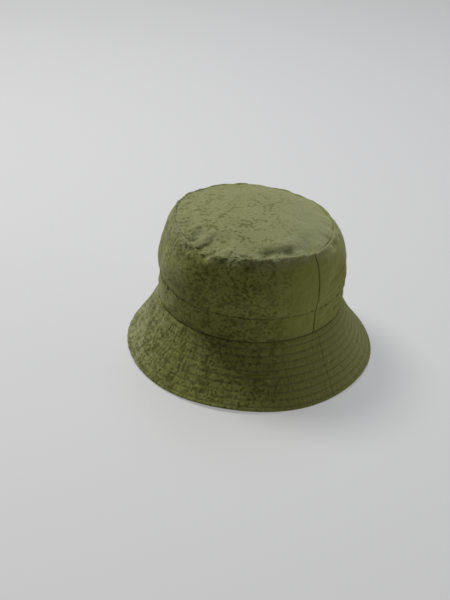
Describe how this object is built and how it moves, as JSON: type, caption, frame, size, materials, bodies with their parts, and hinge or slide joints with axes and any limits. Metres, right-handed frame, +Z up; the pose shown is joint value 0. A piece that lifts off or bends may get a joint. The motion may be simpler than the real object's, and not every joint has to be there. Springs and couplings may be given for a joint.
{
  "type": "bucket hat",
  "caption": "Soft bucket hat in woven cloth: puckered tip, panelled crown and band, sloping topstitched brim, lining, sweatband and two sewn-in labels.",
  "frame": {"origin": "centre of the brim's edge, on the surface that the hat stands on", "axes": "+Z up through the crown; the wearer faces -Y; +X is the wearer's left, where a side seam shows"},
  "size_m": [0.2596, 0.2714, 0.1462],
  "materials": {
    "shell_cloth": "olive green woven cotton, matt, with darker damp-looking speckles",
    "lining_cloth": "fine plain-weave lining in a darker olive, slight sheen",
    "sweatband_cloth": "ribbed cotton twill tape, matt",
    "stiffener": "natural non-woven interlining, matt",
    "thread": "olive polyester sewing thread, slight sheen",
    "label_cloth": "off-white woven satin tape"
  },
  "bodies": {
    "shell": {"crown_tip": "shell_cloth", "crown_wall_front": "shell_cloth", "crown_wall_back": "shell_cloth", "lower_band_front": "shell_cloth", "lower_band_back": "shell_cloth", "brim_top_front": "shell_cloth", "brim_top_back": "shell_cloth", "brim_stiffener_front": "stiffener", "brim_stiffener_back": "stiffener", "brim_under_front": "shell_cloth", "brim_under_back": "shell_cloth", "lining_tip": "lining_cloth", "lining_wall_front": "lining_cloth", "lining_wall_back": "lining_cloth", "sweatband": "sweatband_cloth", "brim_stitch_rows": "thread", "brim_edge_stitching": "thread", "band_stitching": "thread", "tip_stitching": "thread", "sweatband_stitching": "thread"},
    "size_label": {"size_label": "label_cloth"},
    "care_label": {"care_label": "label_cloth"}
  },
  "joints": [
    {"name": "size_label_flip", "type": "hinge", "parent": "shell", "child": "size_label", "pos_m": [0, 0.09301, 0.08372], "axis": [-1, 0, 0], "range_deg": [0, 160]},
    {"name": "care_label_flip", "type": "hinge", "parent": "shell", "child": "care_label", "pos_m": [0.09107, 0, 0.08922], "axis": [0, 0, -1], "range_deg": [0, 160]}
  ]
}
